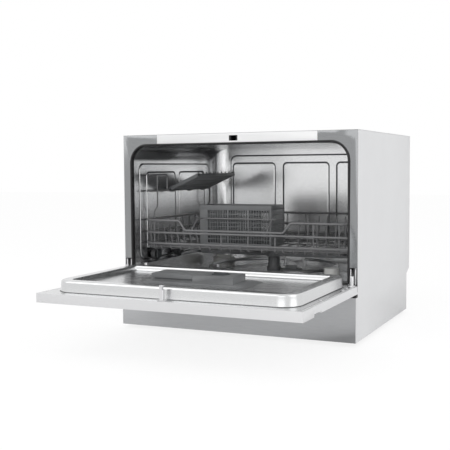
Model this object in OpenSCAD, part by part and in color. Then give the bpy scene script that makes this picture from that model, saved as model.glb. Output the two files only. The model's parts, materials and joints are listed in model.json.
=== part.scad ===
// Countertop dishwasher: steel cabinet, drop-down door, pull-out rack on wheels and its works.
// Millimetres. +Z is up and the door faces -Y. The origin is the centre of the footprint of the
// rest pose, door open and rack in, on the surface that the machine stands on.

/* [Cabinet] */
// Width over the side panels
body_w = 550; // [530:5:600]
// Height from the worktop to the top panel
body_h = 438; // [430:1:470]
// Depth from the front frame to the rear panel
body_d = 460; // [450:5:520]
// Height of the feet below the base tray
foot_h = 8; // [5:1:16]
// Diameter of a foot
foot_d = 34; // [24:1:44]
// Distance from the cabinet's edges to the centre of a foot
foot_inset = 62; // [56:1:80]
// Thickness of the steel sheets
sheet_t = 1; // [0.6:0.1:1.2]
// Height of the kick plate above the worktop
kick_top = 100; // [96:1:106]
// How far the kick plate stands in front of the front frame
kick_out = 13.5; // [12.5:0.5:18]
// Depth of the step in the rear that leaves room for hoses
rear_step = 27; // [15:1:35]
// Height of the rear step
rear_step_z = 109; // [100:1:125]
// Width of the hems that the panels are screwed to
hem_w = 12; // [8:1:14]

/* [Tub] */
// Space between the tub's inside and the cabinet's outside, at each side
tub_side_gap = 20; // [19:0.5:30]
// Space between the tub's ceiling and the top of the cabinet
tub_top_gap = 23; // [22:0.5:30]
// Space between the tub's back and the rear of the cabinet
tub_back_gap = 20; // [15:1:40]
// Radius of the mouth's upper corners
mouth_r = 42; // [25:1:60]
// Radius of the tub's upright back corners
tub_back_r = 40; // [20:1:50]
// Width of the ledges that the rack's wheels run on
ledge_w = 23; // [20:1:26]
// Width of the steel flange round the mouth
flange_w = 10; // [6:1:11]
// How far the pressed panels stand in from the back wall
emboss = 1.5; // [0.5:0.1:3]
// Width of the door gasket's visible bead
bead_w = 3.5; // [2.5:0.1:4]
// Diameter of the sump's opening in the tub floor
sump_d = 150; // [130:5:170]

/* [Door] */
// Thickness of the door below its inner face
door_t = 16.5; // [15:0.5:18]
// Extra thickness of the control panel
panel_proud = 2; // [0.5:0.5:3]
// Height of the control panel, measured along the door
panel_h = 56; // [50:1:66]
// Width of the finger groove under the control panel
groove_w = 40; // [30:1:50]
// Gap between the closed door and the front frame
door_gap = 2.5; // [2.3:0.1:3.5]
// Distance from the hinge axis to the front frame
hinge_out = 6; // [5.5:0.25:7]
// Height of the hinge axis above the kick plate
hinge_up = 19.5; // [19:0.5:22]
// Diameter of the hinge pins
hinge_pin_d = 6; // [4:0.5:7]
// Length of the hinge levers that reach into the cabinet
lever_len = 24.5; // [18:0.5:28]
// Height of the pressed rim on the liner
rim_h = 23; // [18:1:26]
// Width of the flat top of the rim
rim_w = 24; // [20:1:28]
// Radius of the rim's corners
rim_r = 28; // [15:1:36]
// Depth of the liner's middle below the rim
recess_d = 11; // [8:0.5:14]
// Width of the border that the outer panels fold over the liner
lip_w = 7; // [5:0.5:8]
// Length of the latch hook above the door's inner face
hook_len = 29; // [25:1:32]

/* [Controls] */
// Diameter of a button
button_d = 10; // [8:0.5:14]
// Distance between neighbouring buttons
button_pitch = 30; // [24:1:34]
// Travel of a button
button_travel = 1; // [0.6:0.1:1.5]
// Width of the display window
window_w = 70; // [50:1:76]

/* [Dispenser] */
// Length of the dispenser block
disp_w = 180; // [150:5:200]
// Depth of the dispenser block
disp_d = 60; // [50:1:70]
// Height of the dispenser block above the liner
disp_h = 18; // [16:0.5:22]
// Share of the block's length under the sliding lid, in millimetres
lid_w = 92; // [80:1:100]
// Height of the lid's front skirt
lid_h = 9; // [6:0.5:10]
// Diameter of the rinse aid cap
rinse_d = 36; // [30:1:40]

/* [Rack] */
// Gap between the rack and the tub wall at each side
rack_side_gap = 5; // [4:0.5:7]
// Distance from the front frame to the rack when it is in
rack_in = 38; // [34:1:44]
// Depth of the rack
rack_d = 388; // [370:1:390]
// How far the rack pulls out
rack_travel = 304; // [280:1:310]
// Diameter of the rim wires
rim_wire = 4.5; // [3.5:0.25:5]
// Diameter of the floor wires, posts and tines
wire_d = 3.4; // [2.5:0.1:4]
// Height of the floor wires above the ledges
floor_up = 32; // [30:1:36]
// Height of the top rim above the ledges
top_rim_up = 98; // [90:1:110]
// Height of the middle rim above the ledges
mid_rim_up = 69.5; // [62:0.5:76]
// Height of the low rim above the ledges
low_rim_up = 44.7; // [42:0.1:50]
// How far the top rim dips in the middle of the front
rim_dip = 22; // [10:1:24]
// Diameter of a wheel
wheel_d = 29; // [26:1:30]
// Width of a wheel
wheel_w = 11; // [8:1:12]
// Diameter of a wheel's axle pin
axle_d = 6; // [4:0.5:7]

/* [Baskets] */
// Width of the cutlery basket
basket_w = 180; // [150:5:200]
// Depth of the cutlery basket
basket_d = 78; // [60:1:90]
// Height of the cutlery basket
basket_h = 94; // [80:1:110]
// Wall of the cutlery basket
basket_wall = 2.4; // [1.6:0.2:3]
// Width of the cup shelf, from its hinge wire
shelf_w = 92; // [60:1:100]
// Length of the cup shelf
shelf_len = 205; // [160:5:220]
// Angle of the cup shelf in use
shelf_tilt = 24; // [10:1:40]

/* [Spray arm and works] */
// Distance from the spray arm's hub to its tip
arm_reach = 194; // [150:2:196]
// Diameter of the hub's spigot
hub_d = 22; // [16:1:26]
// Diameter of the heater's ring, to the middle of the tube
heater_ring = 300; // [280:2:320]
// Diameter of the heater tube
heater_d = 8; // [6:0.5:10]
// Diameter of the filter cylinder
filter_d = 44; // [36:1:48]
// Width of the softener tank
tank_w = 140; // [120:5:160]
// Diameter of the softener tank's neck
neck_d = 50; // [40:1:60]
// Diameter of the water inlet's thread
inlet_d = 26.4; // [20:0.1:30]
// Length of the water inlet's thread behind its collar
inlet_l = 14; // [12:0.5:18]
// Diameter of the drain spigot
drain_d = 20; // [16:0.5:24]
// Length of the drain spigot behind its collar
drain_l = 18.5; // [14:0.5:24]

/* [Hidden] */
$fn = 40;
slack = 0.05; // radial clearance of pins and shafts in their holes
seat = 0.3; // clearance between a soft or round face and its seat
half_w = body_w / 2;
inner_w = half_w - sheet_t; // inside of the side panels
top_in = body_h - sheet_t; // underside of the top panel
step_low = rear_step_z - 11.5;
hinge_z = kick_top + hinge_up;
door_top = hinge_z + hinge_out - door_gap; // inner face of the open door
door_under = door_top - door_t;
door_reach = body_h - 0.5 - hinge_z + hinge_out;
screw_head = 1.6;
flange_y = -(body_d + screw_head - door_reach) / 2; // the front frame in the part's own frame
tub_half = half_w - tub_side_gap;
tub_top = body_h - tub_top_gap;
tub_back = body_d - tub_back_gap;
tub_floor = hinge_z - 1.5;
mouth_gap = 2.5; // from the tub's inside to the frame's opening
mouth_half = tub_half + mouth_gap;
mouth_top = tub_top + mouth_gap;
mouth_low = tub_floor - mouth_gap;
tub_r = mouth_r - mouth_gap;
bead_out = door_gap - seat; // how far the gasket stands out of the frame
rim_top = door_top + rim_h;
rim_half = mouth_half - bead_w - 1.5;
rim_front = -(mouth_top - bead_w - 1.2 - hinge_z + hinge_out);
rim_far_r = mouth_r - bead_w - 1.5; // corners that go into the mouth's upper corners
rim_rear = -(hinge_out + 2);
recess_z = rim_top - recess_d;
ledge_z = rim_top; // the wheels run on the rim and on the ledges
ledge_y = rim_h + 2; // the ledges start behind the closed door's rim
well_half = tub_half - ledge_w;
well_y = (ledge_y + tub_back) / 2; // centre of the spray arm and the sump
floor_out = tub_floor - sheet_t;
arm_z = ledge_z + 4;
rack_half = tub_half - rack_side_gap;
rack_back = rack_in + rack_d;
rim_x = rack_half - rim_wire / 2;
rim_y0 = rack_in + rim_wire / 2;
rim_y1 = rack_back - rim_wire / 2;
touch = 0.03; // gap between wires that are welded where they cross
lay = (rim_wire + wire_d) / 2 + touch;
floor_z = ledge_z + floor_up;
cross_z = floor_z + wire_d + touch;
wheel_z = ledge_z + wheel_d / 2 + seat;
wheel_x = well_half + 5; // inner face of the wheels
wheel_ys = [rack_in + 46, rack_in + 156, rack_back - 43];
shelf_x = -(rim_x - 9);
shelf_z = ledge_z + 164.5;
shelf_y = rack_in + 102;
basket_x = -134;
basket_y = rack_in + 64;
basket_z = cross_z + wire_d / 2 + touch;
disp_x = -disp_w / 2 - 12;
disp_y = -175;
disp_top = recess_z + disp_h;
panel_face = door_under - panel_proud;
panel_end = -door_reach + panel_h;
groove_end = panel_end + groove_w;
notch_y = -hinge_out - 10; // the door is cut back here round the hinges
notch_x0 = mouth_half - 1;
notch_x1 = notch_x0 + 16;
cheek_t = 2.5;
arm_x0 = mouth_half + 3.5; // inner face of a hinge arm
arm_t = 7;
hook_y = -(hinge_out + mouth_top + 9 - hinge_z);
beam_left = -187;
beam_right = 189;
pump_z = 61;
tank_x0 = -inner_w + 24;
softener_x = tank_x0 + 65;
softener_y = body_d - 120;
float_x = well_half - 44.5;
float_y = ledge_y + 75;
filter_x = 44;
board_z = panel_face + 7.5;
heater_legs = [100, 80]; // the angles of its two legs
collar_t = 1.5;
inlet_x = 190;
inlet_z = 66;
drain_x = -190;
drain_z = 60;
cord_x = -120;

// Everything is drawn with the front frame at y = 0 and then moved to its place.
module at_front() { translate([0, flange_y, 0]) children(); }
module both_sides() { children(); mirror([1, 0, 0]) children(); }
module along_x(x0, x1) { translate([x0, 0, 0]) rotate([90, 0, 90]) linear_extrude(x1 - x0) children(); }
module along_y(y0, y1) { translate([0, y1, 0]) rotate([90, 0, 0]) linear_extrude(y1 - y0) children(); }
module along_z(z0, z1) { translate([0, 0, z0]) linear_extrude(z1 - z0) children(); }
module block(x0, x1, y0, y1, z0, z1) { translate([x0, y0, z0]) cube([x1 - x0, y1 - y0, z1 - z0]); }
module pin_x(x0, x1, y, z, d) { translate([x0, y, z]) rotate([0, 90, 0]) cylinder(d = d, h = x1 - x0); }
module pin_y(y0, y1, x, z, d) { translate([x, y1, z]) rotate([90, 0, 0]) cylinder(d = d, h = y1 - y0); }
module pin_z(z0, z1, x, y, d) { translate([x, y, z0]) cylinder(d = d, h = z1 - z0); }

// A flat rectangle with one radius for its two lower corners and one for its two upper corners.
module round_rect(x0, x1, y0, y1, low_r, high_r) {
    low = max(low_r, 0.01);
    high = max(high_r, 0.01);
    difference() {
        translate([x0, y0]) square([x1 - x0, y1 - y0]);
        for (c = [[x0, y0, 1, 1, low], [x1, y0, -1, 1, low], [x0, y1, 1, -1, high], [x1, y1, -1, -1, high]])
            translate([c[0], c[1]]) difference() {
                translate([c[2] > 0 ? -1 : -c[4], c[3] > 0 ? -1 : -c[4]]) square(c[4] + 1);
                translate([c[2] * c[4], c[3] * c[4]]) circle(c[4]);
            }
    }
}

// Bent wire: rods between the corners of a path, and an elbow of its own radius at each corner.
// A corner is [x, y, z, radius].
function unit(v) = v / norm(v);
function pt(c) = [c[0], c[1], c[2]];
function turn(a, b, c) = acos(max(-1, min(1, unit(b - a) * unit(c - b))));
function trim(p, i) = p[i][3] * tan(turn(pt(p[i - 1]), pt(p[i]), pt(p[i + 1])) / 2);
module placed(o, x, y) {
    z = cross(x, y);
    multmatrix([[x[0], y[0], z[0], o[0]], [x[1], y[1], z[1], o[1]], [x[2], y[2], z[2], o[2]], [0, 0, 0, 1]])
        children();
}
module rod(a, b, d) {
    z = unit(b - a);
    x = unit(cross(abs(z[2]) < 0.9 ? [0, 0, 1] : [1, 0, 0], z));
    placed(a, x, cross(z, x)) cylinder(d = d, h = norm(b - a));
}
module elbow(a, b, c, r, d) {
    u = unit(b - a);
    v = unit(c - b);
    n = unit(v - (v * u) * u);
    sides = $fn;
    placed(b - u * r * tan(turn(a, b, c) / 2) + n * r, -n, u)
        rotate_extrude(angle = turn(a, b, c), $fn = 20) translate([r, 0]) circle(d = d, $fn = sides);
}
module wire(p, d) {
    last = len(p) - 1;
    for (i = [1 : 1 : last - 1]) elbow(pt(p[i - 1]), pt(p[i]), pt(p[i + 1]), p[i][3], d);
    for (i = [0 : 1 : last - 1]) {
        u = unit(pt(p[i + 1]) - pt(p[i]));
        rod(pt(p[i]) + u * (i > 0 ? trim(p, i) : 0), pt(p[i + 1]) - u * (i < last - 1 ? trim(p, i + 1) : 0), d);
    }
}

// ---- Cabinet ----
module base_tray() {
    wall = 2.5;
    color("dimgray") at_front() difference() {
        block(-inner_w + seat, inner_w - seat, -kick_out + sheet_t + seat, body_d - rear_step - sheet_t - seat, foot_h, 45);
        block(-inner_w + seat + wall, inner_w - seat - wall, -kick_out + sheet_t + seat + wall,
            body_d - rear_step - sheet_t - seat - wall, foot_h + 3, 46);
    }
}
module kick_plate() {
    color([0.63, 0.64, 0.65]) at_front() {
        block(-inner_w, inner_w, -kick_out, -kick_out + sheet_t, foot_h, kick_top);
        block(-inner_w, inner_w, -kick_out + sheet_t, 0, kick_top - sheet_t, kick_top);
    }
}
module feet() {
    color([0.15, 0.15, 0.16]) at_front()
        for (x = [-half_w + foot_inset, half_w - foot_inset], y = [foot_inset, body_d - rear_step - foot_inset])
            translate([x, y, 0]) difference() {
                union() {
                    cylinder(d = foot_d, h = foot_h);
                    cylinder(d = 8, h = foot_h);
                }
                translate([0, 0, -1]) cylinder(d = foot_d - 10, h = 2.5);
            }
}
module side_outline() {
    polygon([[0, top_in], [body_d, top_in], [body_d, rear_step_z], [body_d - rear_step, step_low],
        [body_d - rear_step, foot_h], [-kick_out, foot_h], [-kick_out, kick_top], [0, kick_top]]);
}
module side_panel() {
    along_x(inner_w, half_w) side_outline();
    block(inner_w - hem_w, inner_w, 4, body_d - 4, top_in - sheet_t, top_in);
    block(inner_w - hem_w, inner_w, body_d - 2 * sheet_t, body_d - sheet_t, rear_step_z + 6, top_in);
}
module left_side_panel() { color([0.85, 0.86, 0.87]) at_front() mirror([1, 0, 0]) side_panel(); }
module right_side_panel() { color([0.85, 0.86, 0.87]) at_front() side_panel(); }
module top_panel() {
    color([0.85, 0.86, 0.87]) at_front() {
        block(-half_w, half_w, 0, body_d, top_in, body_h);
        block(-inner_w + hem_w + 2, inner_w - hem_w - 2, 4, body_d - 4, top_in - 0.6, top_in);
    }
}
module rear_panel() {
    low = body_d - rear_step;
    color([0.70, 0.71, 0.72]) at_front() difference() {
        along_x(-inner_w, inner_w)
            polygon([[body_d - sheet_t, top_in], [body_d, top_in], [body_d, rear_step_z], [low, step_low],
                [low, foot_h], [low - sheet_t, foot_h], [low - sheet_t, step_low + 0.6],
                [body_d - sheet_t, rear_step_z + 0.6]]);
        pin_y(low - 2, low + 1, inlet_x, inlet_z, inlet_d + 2 * slack);
        pin_y(low - 2, low + 1, drain_x, drain_z, drain_d + 2 * slack);
        pin_y(low - 2, low + 1, cord_x, drain_z, 14 + 2 * slack);
    }
}
module opening_outline(grow) {
    round_rect(-mouth_half - grow, mouth_half + grow, mouth_low - grow, mouth_top + grow, 12 + grow, mouth_r + grow);
}
module front_frame() {
    color([0.60, 0.61, 0.61]) at_front() along_y(0, sheet_t) difference() {
        translate([-inner_w, kick_top]) square([2 * inner_w, top_in - kick_top]);
        opening_outline(0);
        both_sides() translate([mouth_half - 1, kick_top + 11.5]) square([notch_x1 - mouth_half + 1.3, 47.5]);
        translate([beam_left, mouth_top - 1]) square([beam_right - beam_left, top_in - mouth_top + 2]);
    }
}
module upper_beam() {
    color([0.91, 0.92, 0.92]) at_front() along_y(0, sheet_t) difference() {
        translate([beam_left, mouth_top]) square([beam_right - beam_left, top_in - mouth_top]);
        translate([-10, mouth_top + 3.5]) square([20, 11.5]);
    }
}

// ---- Tub ----
// The tub's inside, or with wall > 0 its outside.
module tub_room(wall) {
    difference() {
        intersection() {
            along_y(sheet_t - (wall > 0 ? 0 : 1), tub_back + wall)
                round_rect(-tub_half - wall, tub_half + wall, tub_floor - wall, tub_top + wall, 10 + wall, tub_r + wall);
            along_z(tub_floor - 5, tub_top + 5)
                round_rect(-tub_half - wall, tub_half + wall, -5, tub_back + wall, 0, tub_back_r + wall);
        }
        both_sides() block(well_half + wall, half_w, ledge_y + wall, tub_back + 5, tub_floor - 6, ledge_z - wall);
    }
}
module tub_shell() { difference() { tub_room(sheet_t); tub_room(0); } }
module tub() {
    panels = [[-204, -77], [-57, 73], [90, 204]];
    color([0.80, 0.81, 0.82]) at_front() {
        difference() {
            tub_shell();
            block(-half_w, half_w, -1, body_d, floor_out - 1, ledge_z);
        }
        along_y(sheet_t, 2 * sheet_t) difference() {
            round_rect(-tub_half - flange_w, tub_half + flange_w, ledge_z + 26, tub_top + 4, 0, tub_r + 4);
            round_rect(-tub_half, tub_half, ledge_z, tub_top, 0, tub_r);
        }
        for (p = panels)
            along_y(tub_back - emboss, tub_back + sheet_t / 2)
                round_rect(p[0], p[1], ledge_z + 60, tub_top - 37, 12, 12);
    }
}
// The lower pressing, with the ledges, is welded under the walls.
module tub_floor() {
    color([0.80, 0.81, 0.82]) at_front() difference() {
        tub_shell();
        block(-half_w, half_w, -1, body_d, ledge_z, body_h);
        pin_z(floor_out - 1, tub_floor + 1, 0, well_y, sump_d);
        pin_z(floor_out - 1, tub_floor + 1, softener_x, softener_y, neck_d);
        pin_z(floor_out - 1, tub_floor + 1, float_x, float_y, 16);
        for (a = heater_legs) translate([0, well_y, floor_out - 1]) rotate([0, 0, a])
            translate([heater_ring / 2, 0, 0]) cylinder(d = heater_d + 2 * slack, h = 3);
    }
}
module tub_gasket() {
    module ring(outer, inner) {
        intersection() {
            difference() { opening_outline(outer); opening_outline(inner); }
            translate([-half_w, tub_floor + 8]) square([body_w, body_h]);
        }
    }
    color([0.05, 0.05, 0.05]) at_front() {
        along_y(-bead_out, sheet_t) ring(0, -bead_w);
        along_y(sheet_t, 11) ring(-mouth_gap - seat, -bead_w);
    }
}
module lower_seal() {
    r = 5;
    color([0.05, 0.05, 0.05]) at_front() along_x(-half_w + 0.5, half_w - 0.5) union() {
        translate([-kick_out + r, kick_top]) square([kick_out - r, r]);
        intersection() {
            translate([-kick_out + r, kick_top]) circle(r);
            translate([-kick_out, kick_top]) square(r);
        }
    }
}

// ---- Door hinges and lock ----
module hinge_brackets() {
    module cheek() {
        difference() {
            union() {
                block(0, cheek_t, -hinge_out, 30, hinge_z - 6, hinge_z + 6);
                pin_x(0, cheek_t, -hinge_out, hinge_z, 12);
                block(0, cheek_t, sheet_t, 30, hinge_z - 6, hinge_z + 37);
            }
            pin_x(-1, cheek_t + 1, -hinge_out, hinge_z, hinge_pin_d + 2 * slack);
        }
    }
    color([0.16, 0.16, 0.17]) at_front() both_sides() {
        translate([mouth_half + 0.6, 0, 0]) cheek();
        translate([arm_x0 + arm_t + 0.4, 0, 0]) cheek();
        block(mouth_half + 0.6, arm_x0 + arm_t + 0.4 + cheek_t, 28, 30, hinge_z - 6, hinge_z + 37);
        block(mouth_half + 0.6, inner_w - seat, sheet_t, 2 * sheet_t, kick_top, hinge_z - 6);
        block(mouth_half + 0.6, arm_x0 + arm_t + 0.4 + cheek_t, sheet_t, 30, hinge_z - 8, hinge_z - 6);
    }
}
module hinge_pins() {
    color([0.6, 0.6, 0.62]) at_front() both_sides() {
        pin_x(mouth_half + 0.2, arm_x0 + arm_t + cheek_t + 1.2, -hinge_out, hinge_z, hinge_pin_d);
        pin_x(arm_x0 + arm_t + cheek_t + 0.7, arm_x0 + arm_t + cheek_t + 1.7, -hinge_out, hinge_z, hinge_pin_d + 3);
    }
}
module hinge_arms() {
    lever_w = 7;
    color([0.86, 0.87, 0.87]) at_front() both_sides() difference() {
        union() {
            pin_x(arm_x0, arm_x0 + arm_t, -hinge_out, hinge_z, 12);
            block(arm_x0, arm_x0 + arm_t, -hinge_out - 54, -hinge_out, hinge_z - 6, door_top - sheet_t);
            block(arm_x0, arm_x0 + arm_t, -hinge_out - lever_w / 2, -hinge_out + lever_w / 2,
                hinge_z, hinge_z + lever_len - lever_w / 2);
            pin_x(arm_x0, arm_x0 + arm_t, -hinge_out, hinge_z + lever_len - lever_w / 2, lever_w);
        }
        pin_x(arm_x0 - 1, arm_x0 + arm_t + 1, -hinge_out, hinge_z, hinge_pin_d + 2 * slack);
    }
}
module door_lock() {
    color([0.2, 0.2, 0.21]) at_front() difference() {
        block(-24, 24, sheet_t, 36, mouth_top + 2.2, top_in - 0.8);
        block(-6.5, 6.5, 0, 31, mouth_top + 3.5, mouth_top + 15);
        block(6, 20.2, 17.8, 24.2, mouth_top + 6.8, mouth_top + 11.2);
    }
}
// Drawn pulled back, as it stands while the door is open.
module latch_catch() {
    color([0.75, 0.75, 0.76]) at_front() along_z(mouth_top + 7, mouth_top + 11)
        polygon([[6, 20], [8, 18], [16.5, 18], [16.5, 24], [8, 24], [6, 22]]);
}
module latch_hook() {
    color([0.82, 0.83, 0.84]) at_front() difference() {
        union() {
            block(-9, 9, hook_y - 3.5, hook_y + 9, door_top, door_top + 1.5);
            block(-4, 4, hook_y - 3, hook_y + 3, door_top, door_top + hook_len);
        }
        block(1.5, 5, hook_y - 6, hook_y + 6, door_top + 20.2, door_top + 26.8);
    }
}

// ---- Water works under and in the tub ----
module sump() {
    out = sump_d / 2;
    color([0.25, 0.26, 0.27]) at_front() difference() {
        union() {
            pin_z(floor_out - 4, floor_out, 0, well_y, sump_d + 24);
            pin_z(32, floor_out - 4, 0, well_y, sump_d);
            pin_z(floor_out - 4, tub_floor, 0, well_y, sump_d - 1);
            block(out - 30, out + 9, well_y - 22, well_y + 22, 39, 83);
            block(-out - 9, -out + 30, well_y - 22, well_y + 22, 39, 83);
        }
        pin_z(35, tub_floor + 1, 0, well_y, sump_d - 6);
        pin_x(out - 32, out + 10, well_y, pump_z, 26);
        pin_x(-out - 10, -out + 32, well_y, pump_z, 18);
    }
}
module filter_plate() {
    color([0.72, 0.73, 0.74]) at_front() difference() {
        pin_z(tub_floor, tub_floor + 1.2, 0, well_y, sump_d + 16);
        pin_z(tub_floor - 1, tub_floor + 2, 0, well_y, 34 + 0.4);
        pin_z(tub_floor - 1, tub_floor + 2, filter_x, well_y, filter_d + 2 * slack);
        for (ring = [0 : 1], i = [0 : 18])
            translate([0, well_y, tub_floor - 1]) rotate([0, 0, 45 + i * 15]) translate([48 + 14 * ring, 0, 0])
                cylinder(d = 3, h = 3);
    }
}
module filter_cylinder() {
    color([0.45, 0.46, 0.47]) at_front() translate([filter_x, well_y, 0]) difference() {
        union() {
            translate([0, 0, 50]) cylinder(d = filter_d, h = tub_floor + 3 - 50);
            translate([0, 0, tub_floor + 1.2 + slack]) cylinder(d = filter_d + 8, h = 2.5);
            translate([-14, -3, tub_floor + 2]) cube([28, 6, 10]);
        }
        translate([0, 0, 53]) cylinder(d = filter_d - 5, h = tub_floor - 55);
        translate([0, 0, 49]) cylinder(d = filter_d - 14, h = 5);
    }
}
module spray_hub() {
    color([0.3, 0.31, 0.32]) at_front() translate([0, well_y, 0]) difference() {
        union() {
            translate([0, 0, 35]) cylinder(d = 30, h = 8);
            translate([0, 0, 43]) cylinder(d = 26, h = tub_floor - 43);
            translate([0, 0, tub_floor]) cylinder(d = 34, h = 8);
            translate([0, 0, tub_floor + 8]) cylinder(d = 28, h = arm_z - 2 - tub_floor - 8);
            translate([0, 0, arm_z - 2]) cylinder(d = hub_d, h = 18);
            translate([0, 0, arm_z + 14.2]) cylinder(d = hub_d + 5, h = 3);
        }
        translate([0, 0, 70]) cylinder(d = hub_d - 8, h = arm_z - 64);
        translate([-40, 0, pump_z + 18]) rotate([0, 90, 0]) cylinder(d = 12, h = 1);
    }
}
module spray_arm() {
    color([0.35, 0.36, 0.37]) at_front() translate([0, well_y, 0]) difference() {
        union() {
            translate([0, 0, arm_z]) cylinder(d = hub_d + 14, h = 14);
            for (side = [0, 180]) rotate([0, 0, side]) along_z(arm_z + 2, arm_z + 11)
                union() {
                    polygon([[0, -15], [arm_reach * 0.45, -19], [arm_reach - 13, -9], [arm_reach - 13, 17],
                        [arm_reach * 0.45, 13], [0, 15]]);
                    translate([arm_reach - 13, 4]) circle(13);
                }
        }
        translate([0, 0, arm_z - 1]) cylinder(d = hub_d + 2 * slack, h = 20);
        for (side = [0, 180], i = [0 : 3]) rotate([0, 0, side])
            translate([50 + 40 * i, i % 2 == 0 ? -5 : 4, arm_z + 6]) cylinder(d = 3, h = 8);
    }
}
module heater() {
    z = tub_floor + 10;
    r = heater_ring / 2;
    color([0.55, 0.55, 0.56]) at_front() translate([0, well_y, 0]) {
        translate([0, 0, z]) rotate([0, 0, 100]) rotate_extrude(angle = 340) translate([r, 0]) circle(d = heater_d);
        for (a = heater_legs) rotate([0, 0, a]) translate([r, 0, floor_out - 12]) cylinder(d = heater_d, h = z - floor_out + 12);
        for (a = [0, 180, 270]) rotate([0, 0, a]) translate([r - 3, -2, tub_floor]) cube([6, 4, z - tub_floor - heater_d / 2]);
    }
}
module pump(out, d, eye, cavity_d, motor_d, motor_end) {
    // Volute against the sump's port, then the motor.
    difference() {
        union() {
            pin_x(out, out + 30, well_y, pump_z, d);
            pin_x(out + 30, motor_end, well_y, pump_z, motor_d);
            pin_x(motor_end, motor_end + 6, well_y, pump_z, motor_d / 3);
        }
        pin_x(out - 1, out + 4, well_y, pump_z, eye);
        pin_x(out + 4, out + 26, well_y, pump_z, cavity_d);
        pin_x(out + 25, out + 60, well_y, pump_z, 8 + 2 * slack);
    }
    block(out + 32, motor_end - 4, well_y - 12, well_y + 12, foot_h + 3, pump_z - motor_d / 2 + 4);
}
module impeller(out, d) {
    pin_x(out + 20, out + 59, well_y, pump_z, 8);
    pin_x(out + 17, out + 20, well_y, pump_z, d);
    for (i = [0 : 5]) translate([out + 7, well_y, pump_z]) rotate([i * 60, 0, 0])
        translate([0, 4, -1]) cube([11, d / 2 - 6, 2]);
    pin_x(out + 7, out + 18, well_y, pump_z, 12);
}
pump_out = sump_d / 2 + 9;
module circulation_pump() { color([0.2, 0.2, 0.22]) at_front() pump(pump_out, 88, 26, 78, 66, pump_out + 120); }
module circulation_impeller() { color([0.5, 0.5, 0.52]) at_front() impeller(pump_out, 68); }
module drain_pump() { color([0.2, 0.2, 0.22]) at_front() mirror([1, 0, 0]) pump(pump_out, 62, 18, 52, 46, pump_out + 80); }
module drain_impeller() { color([0.5, 0.5, 0.52]) at_front() mirror([1, 0, 0]) impeller(pump_out, 44); }
module softener_tank() {
    color([0.9, 0.9, 0.88]) at_front() difference() {
        union() {
            block(tank_x0, tank_x0 + tank_w, well_y + 60, softener_y + 62, foot_h + 3, floor_out);
            pin_z(floor_out, tub_floor + 2, softener_x, softener_y, neck_d - 0.2);
        }
        block(tank_x0 + 3, tank_x0 + tank_w - 3, well_y + 63, softener_y + 59, foot_h + 6, floor_out - 3);
        pin_z(floor_out - 5, tub_floor + 5, softener_x, softener_y, neck_d - 10);
    }
}
module softener_cap() {
    color([0.85, 0.85, 0.86]) at_front() {
        pin_z(tub_floor + 2 + slack, tub_floor + 12, softener_x, softener_y, neck_d + 6);
        pin_z(tub_floor - 8, tub_floor + 3, softener_x, softener_y, neck_d - 10 - 2 * slack);
        block(softener_x - 20, softener_x + 20, softener_y - 3, softener_y + 3, tub_floor + 11, tub_floor + 18);
    }
}
module float() {
    color([0.88, 0.88, 0.88]) at_front() {
        pin_z(tub_floor + seat, tub_floor + 26, float_x, float_y, 32);
        pin_z(floor_out - 20, tub_floor + 1, float_x, float_y, 9);
    }
}
module float_switch() {
    color([0.2, 0.2, 0.2]) at_front() difference() {
        block(float_x - 16, float_x + 16, float_y - 12, float_y + 12, floor_out - 34, floor_out);
        pin_z(floor_out - 30, floor_out + 1, float_x, float_y, 9 + 2 * slack);
    }
}
module inlet_valve() {
    low = body_d - rear_step;
    color([0.92, 0.92, 0.9]) at_front() {
        difference() {
            union() {
                pin_y(low - 2 * sheet_t, low + collar_t + inlet_l, inlet_x, inlet_z, inlet_d);
                pin_y(low, low + collar_t, inlet_x, inlet_z, inlet_d + 6);
                pin_y(low - 40, low - 2 * sheet_t, inlet_x, inlet_z, 36);
                block(inlet_x - 18, inlet_x + 18, low - 40, low - 8, 40, inlet_z);
            }
            pin_y(low - 30, low + collar_t + inlet_l + 1, inlet_x, inlet_z, inlet_d - 10);
        }
        block(inlet_x - 10, inlet_x + 10, low - 36, low - 12, foot_h + 3, 40);
    }
}
module drain_outlet() {
    low = body_d - rear_step;
    color([0.25, 0.25, 0.26]) at_front() difference() {
        union() {
            pin_y(low - 22, low + collar_t + drain_l, drain_x, drain_z, drain_d);
            pin_y(low, low + collar_t, drain_x, drain_z, drain_d + 6);
            pin_y(low - 6, low - sheet_t, drain_x, drain_z, drain_d + 8);
        }
        pin_y(low - 23, low + collar_t + drain_l + 1, drain_x, drain_z, drain_d - 5);
    }
}
module cable_gland() {
    low = body_d - rear_step;
    color([0.1, 0.1, 0.1]) at_front() difference() {
        union() {
            pin_y(low - 10, low + 6, cord_x, drain_z, 14);
            pin_y(low, low + 3, cord_x, drain_z, 19);
            pin_y(low - 6, low - sheet_t, cord_x, drain_z, 19);
        }
        pin_y(low - 11, low + 7, cord_x, drain_z, 7.6);
    }
}
module case_screws() {
    color([0.6, 0.6, 0.62]) at_front()
        for (side = [-1, 1], z = [rear_step_z + 24, body_h / 2 + 50, body_h - 30])
            pin_y(body_d, body_d + screw_head, side * (inner_w - hem_w / 2), z, 7);
}

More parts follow.
